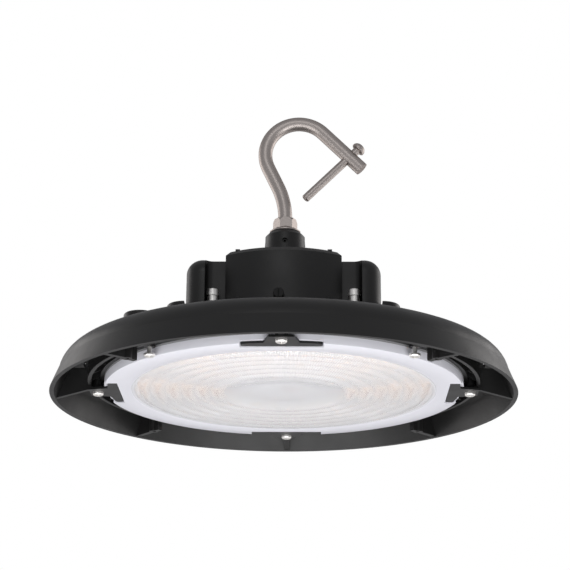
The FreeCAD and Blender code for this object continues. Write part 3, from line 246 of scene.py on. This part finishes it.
# Paint or moulded plastic: a slight mottle, uneven gloss and a fine surface grain.
def coated(name, low, high, roughness, grain, specular=0.5):
    g = Graph(name)
    form = coatGrain
    mottle = g.noise(form["mottleScale"], form["mottleDetail"])
    fine = g.noise(grain, form["grainDetail"], form["grainRoughness"])
    gloss = g.noise(form["glossScale"], form["glossDetail"])
    g.set(Base_Color=g.blend(mottle, low, high), Specular_IOR_Level=specular,
          Roughness=g.wavering(gloss, roughness, form["glossSpread"]),
          Normal=g.bump(fine, form["grainStrength"], form["grainDepth"]))
    return g.material


# Bare metal: fine drawn or turned lines, with small changes of gloss.
def metal(name, low, high, roughness, stretch, edge=(1, 1, 1), strength=metalGrain["lineStrength"],
          uneven=metalGrain["glossSpread"]):
    g = Graph(name)
    form = metalGrain
    lines = g.noise(form["lineScale"], form["lineDetail"], form["lineRoughness"], g.stretched(stretch))
    tone = g.noise(form["toneScale"], form["toneDetail"])
    g.set(Base_Color=g.blend(tone, low, high), Metallic=1.0, Specular_Tint=edge,
          Roughness=g.wavering(lines, roughness, uneven))
    if strength:
        g.set(Normal=g.bump(lines, strength, form["lineDepth"]))
    return g.material


finishes = {
    "powder_coat": coated("powderCoat", (0.003, 0.003, 0.0032), (0.0043, 0.0042, 0.004), 0.42, 2600, 0.45),
    "seal_rubber": coated("sealRubber", (0.22, 0.22, 0.23), (0.27, 0.27, 0.28), 0.62, 900),
    "screw_steel": metal("screwSteel", (0.8, 0.79, 0.77), (0.9, 0.88, 0.86), 0.42, (900, 900, 900)),
    "black_steel": coated("blackSteel", (0.008, 0.008, 0.008), (0.012, 0.012, 0.012), 0.4, 1500, 0.3),
    # The hook's edge tint below darkens its grazing reflections: painted shade at the rod's edges.
    "hook_steel": metal("hookSteel", (0.41, 0.37, 0.35), (0.44, 0.4, 0.38), 0.42, (160, 160, 30),
                        edge=(0.6, 0.56, 0.54), strength=0, uneven=0.01),
    "white_board": coated("whiteBoard", (0.94, 0.94, 0.97), (0.96, 0.96, 0.98), 0.5, 500),
    "led_phosphor": coated("ledPhosphor", (1.0, 0.3, 0.01), (1.0, 0.38, 0.03), 0.45, 900),
    "white_plastic": coated("whitePlastic", (0.78, 0.78, 0.76), (0.82, 0.82, 0.8), 0.4, 700),
    "black_plastic": coated("blackPlastic", (0.009, 0.009, 0.009), (0.012, 0.012, 0.012), 0.5, 1200, 0.25),
    "lead_insulation": coated("leadInsulation", (0.5, 0.03, 0.025), (0.56, 0.04, 0.03), 0.5, 900),
    "green_board": coated("greenBoard", (0.02, 0.16, 0.06), (0.03, 0.2, 0.08), 0.4, 800),
    "ferrite": coated("ferrite", (0.035, 0.035, 0.04), (0.05, 0.05, 0.055), 0.55, 600),
    "capacitor_sleeve": coated("capacitorSleeve", (0.02, 0.025, 0.06), (0.03, 0.035, 0.08), 0.3, 800),
    "bare_aluminium": metal("bareAluminium", (0.68, 0.69, 0.7), (0.78, 0.79, 0.8), 0.35, (40, 900, 900)),
    "terminal_plastic": coated("terminalPlastic", (0.03, 0.16, 0.07), (0.04, 0.19, 0.085), 0.5, 800),
}


# lens: a clear moulding with annular ridges; lengths in m, angles in degrees

lensForm = {
    "outer": 0.1232, "face": 0.0043, "top": 0.0101,      # edge, lower face and top of the upstand
    "skirt": 0.0026,                                     # wall of the upstand
    "edgeRound": 0.0008, "edgeCorner": 0.0002,
    "sheetFoot": 0.0049, "sheetTop": 0.0071,             # the thin middle
    "flange": 0.104, "flangeTop": 0.0081,                # the flat band round it starts here
    "stepEase": 0.0004, "stepDrop": 0.0002, "stepWidth": 0.0012, "topStep": 0.003,
    "ridges": 6, "ridgeInner": 0.0414, "ridgePitch": 0.0101, "ridgeRise": 0.0015,
    "clamps": 4, "clampInner": 0.1124, "clampHalf": 0.0262, "seat": 0.0065,
    "cutterReach": 0.01, "cutterDip": 0.002,             # how far a cutter passes the edge and the face
    "notchCircle": 0.1282, "notchRadius": 0.0042, "notchAngle": 41.0,
    "notchDepth": 0.03, "notchMiddle": 0.008, "notchSides": 40,
    "turns": 288, "ridgeSteps": 10, "sharpAngle": 34,
}

lensFinish = {
    "middleColour": (0.98, 0.98, 1.0), "flangeColour": (0.66, 0.66, 0.71),
    "flangeClear": 0.15, "middleExtraClear": 0.45,       # share of light let through
    "middleRoughness": 0.05, "flangeRoughness": 0.3,
    "changeInside": 0.002, "changeOutside": 0.001,       # where the one finish passes into the other, m
    "ior": 1.5, "specular": 0.35,
    "flutePitch": 0.0017, "fluteStrength": 0.5, "fluteDepth": 0.00025,
}

# A faint orange glow on the LED phosphor: painted light, since the LEDs are no lamps in this scene.
ledPaintedGlow = {"colour": (1.0, 0.5, 0.06, 1), "strength": 1.3}


# Fine flutes run across each ridge, a whole number of them round it.
def lensFlutes(g, x, y, radius):
    pitch = lensForm["ridgePitch"]
    ridge = g.math("DIVIDE", g.math("SUBTRACT", radius, lensForm["ridgeInner"]), pitch)
    middle = g.math("ADD", g.math("FLOOR", ridge), 0.5)
    middle = g.math("ADD", g.math("MULTIPLY", middle, pitch), lensForm["ridgeInner"])
    around = g.math("MULTIPLY", middle, 2 * math.pi)
    count = g.math("ROUND", g.math("DIVIDE", around, lensFinish["flutePitch"]))
    flute = g.math("SINE", g.math("MULTIPLY", g.math("ARCTAN2", y, x), count))
    started = g.math("GREATER_THAN", ridge, 0.0)
    ended = g.math("LESS_THAN", ridge, float(lensForm["ridges"]))
    return g.math("MULTIPLY", flute, g.math("MULTIPLY", started, ended))


def lensMaterial():
    g = Graph("lensPlastic")
    look = lensFinish
    axes = g.add("ShaderNodeSeparateXYZ")
    g.link(g.place, axes.inputs[0])
    x, y = axes.outputs["X"], axes.outputs["Y"]
    radius = g.math("SQRT", g.math("ADD", g.math("MULTIPLY", x, x), g.math("MULTIPLY", y, y)))
    start = lensForm["flange"] - look["changeInside"]
    end = lensForm["flange"] + look["changeOutside"]
    inMiddle = g.span(radius, start, end, 1.0, 0.0)
    g.set(Base_Color=g.blend(inMiddle, look["flangeColour"], look["middleColour"]),
          Transmission_Weight=g.math("MULTIPLY_ADD", inMiddle, look["middleExtraClear"], look["flangeClear"]),
          IOR=look["ior"], Specular_IOR_Level=look["specular"],
          Roughness=g.span(radius, start, end, look["middleRoughness"], look["flangeRoughness"]),
          Normal=g.bump(lensFlutes(g, x, y, radius), look["fluteStrength"], look["fluteDepth"]))
    return g.material


finishes["lens_plastic"] = lensMaterial()
# The phosphor's emission is painted light that brightens the LEDs seen through the lens.
phosphor = finishes["led_phosphor"].node_tree.nodes["Principled BSDF"]
phosphor.inputs["Emission Color"].default_value = ledPaintedGlow["colour"]
phosphor.inputs["Emission Strength"].default_value = ledPaintedGlow["strength"]
slotOf = {part["node"]: part["material_slot"] for part in frame["record"]["subparts"]}
for nodeName, node in frame["nodes"].items():
    node.data.materials.clear()
    node.data.materials.append(finishes[slotOf[nodeName]])
print("finishes set")


# Vertices and faces of a closed profile of (radius, z) turned about Z; a radius of 0 closes on the axis.
def latheClosed(profile, turns):
    steps = [2 * math.pi * i / turns for i in range(turns)]
    verts, rings = [], []
    for radius, z in profile:
        if radius == 0:
            rings.append([len(verts)] * turns)
            verts.append((0, 0, z))
        else:
            rings.append(list(range(len(verts), len(verts) + turns)))
            verts += [(radius * math.cos(a), radius * math.sin(a), z) for a in steps]
    faces = []
    for lower, upper in zip(rings, rings[1:]):
        for i in range(turns):
            j = (i + 1) % turns
            corners = []
            for corner in (lower[i], lower[j], upper[j], upper[i]):
                if corner not in corners:
                    corners.append(corner)
            if len(corners) > 2:
                faces.append(corners)
    return verts, faces


# From the middle of the lower face outwards, up the edge and back over the top.
def lensProfile(form):
    inner, pitch, steps = form["ridgeInner"], form["ridgePitch"], form["ridgeSteps"]
    half, rise, foot = pitch / 2, form["ridgeRise"], form["sheetFoot"]
    bend = (half * half + rise * rise) / (2 * rise)    # radius of a ridge's arc
    points = [(0.0, foot), (inner / 2, foot), (inner, foot)]
    for ring in range(form["ridges"]):
        for step in range(1, steps + 1):
            across = -half + pitch * step / steps
            drop = math.sqrt(bend * bend - across * across) - (bend - rise)
            points.append((inner + (ring + 0.5) * pitch + across, foot - drop))
    outer, face, top = form["outer"], form["face"], form["top"]
    flange, flangeTop, upstand = form["flange"], form["flangeTop"], form["outer"] - form["skirt"]
    points += [
        (flange, foot), (flange + form["stepEase"], foot - form["stepDrop"]),
        (flange + form["stepWidth"], face),
        (outer - form["edgeRound"], face), (outer - form["edgeCorner"], face + form["edgeCorner"]),
        (outer, face + form["edgeRound"]), (outer, top), (upstand, top), (upstand, flangeTop),
        (flange + form["topStep"], flangeTop), (flange, form["sheetTop"]), (0.0, form["sheetTop"]),
    ]
    return points


# A closed upright solid over an outline, turned about Z.
def prism(outline, low, high, turn):
    bm = bmesh.new()
    lower = [bm.verts.new((x, y, low)) for x, y in outline]
    upper = [bm.verts.new((x, y, high)) for x, y in outline]
    bm.faces.new(lower[::-1])
    bm.faces.new(upper)
    for i in range(len(outline)):
        j = (i + 1) % len(outline)
        bm.faces.new((lower[i], lower[j], upper[j], upper[i]))
    bmesh.ops.rotate(bm, cent=(0, 0, 0), matrix=Matrix.Rotation(turn, 3, "Z"), verts=bm.verts)
    return bm


# An upright round cutter at an angle from the near side.
def notchCutter(form, angle):
    bm = bmesh.new()
    bmesh.ops.create_cone(bm, cap_ends=True, segments=form["notchSides"], radius1=form["notchRadius"],
                          radius2=form["notchRadius"], depth=form["notchDepth"])
    circle = form["notchCircle"]
    place = (circle * math.sin(angle), -circle * math.cos(angle), form["notchMiddle"])
    bmesh.ops.translate(bm, vec=place, verts=bm.verts)
    return bm


# The clamps' recesses, open at the edge, and the four notches in the edge.
def lensCutters(form):
    inner, half = form["clampInner"], form["clampHalf"]
    beyond = form["outer"] + form["cutterReach"]
    recess = [(inner, -half), (beyond, -half), (beyond, half), (inner, half)]
    cutters = []
    for number in range(form["clamps"]):
        turn = number * 2 * math.pi / form["clamps"]
        cutters.append(prism(recess, form["face"] - form["cutterDip"], form["seat"], turn))
    for side in (-1, 1):
        for angle in (form["notchAngle"], 180 - form["notchAngle"]):
            cutters.append(notchCutter(form, math.radians(angle) * side))
    return cutters


def cutAway(piece, cutters):
    tools = []
    for number, bm in enumerate(cutters):
        tool = bpy.data.objects.new("lensCutter%d" % number, bpy.data.meshes.new("lensCutter"))
        bm.to_mesh(tool.data)
        bm.free()
        addToScene(tool)
        step = piece.modifiers.new("step%d" % number, "BOOLEAN")
        step.operation = "DIFFERENCE"
        step.object = tool
        step.solver = "EXACT"
        tools.append(tool)
    finished = piece.evaluated_get(bpy.context.evaluated_depsgraph_get())
    mesh = bpy.data.meshes.new_from_object(finished)
    piece.modifiers.clear()
    piece.data = mesh
    for tool in tools:
        bpy.data.objects.remove(tool)


def faceOutwards(mesh):
    bm = bmesh.new()
    bm.from_mesh(mesh)
    bmesh.ops.recalc_face_normals(bm, faces=bm.faces)
    bm.to_mesh(mesh)
    bm.free()


def buildLens(form):
    verts, faces = latheClosed(lensProfile(form), form["turns"])
    mesh = bpy.data.meshes.new("lensMoulding")
    mesh.from_pydata(verts, [], faces)
    mesh.materials.append(finishes["lens_plastic"])
    mesh.validate()
    mesh.polygons.foreach_set("use_smooth", [True] * len(mesh.polygons))
    lens = bpy.data.objects.new("lensMoulding", mesh)
    addToScene(lens)
    cutAway(lens, lensCutters(form))
    faceOutwards(lens.data)
    lens.data.set_sharp_from_angle(angle=math.radians(form["sharpAngle"]))
    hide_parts("lens")
    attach(lens, "fixture")
    return lens


lens = buildLens(lensForm)
print("lens built:", len(lens.data.polygons), "faces")
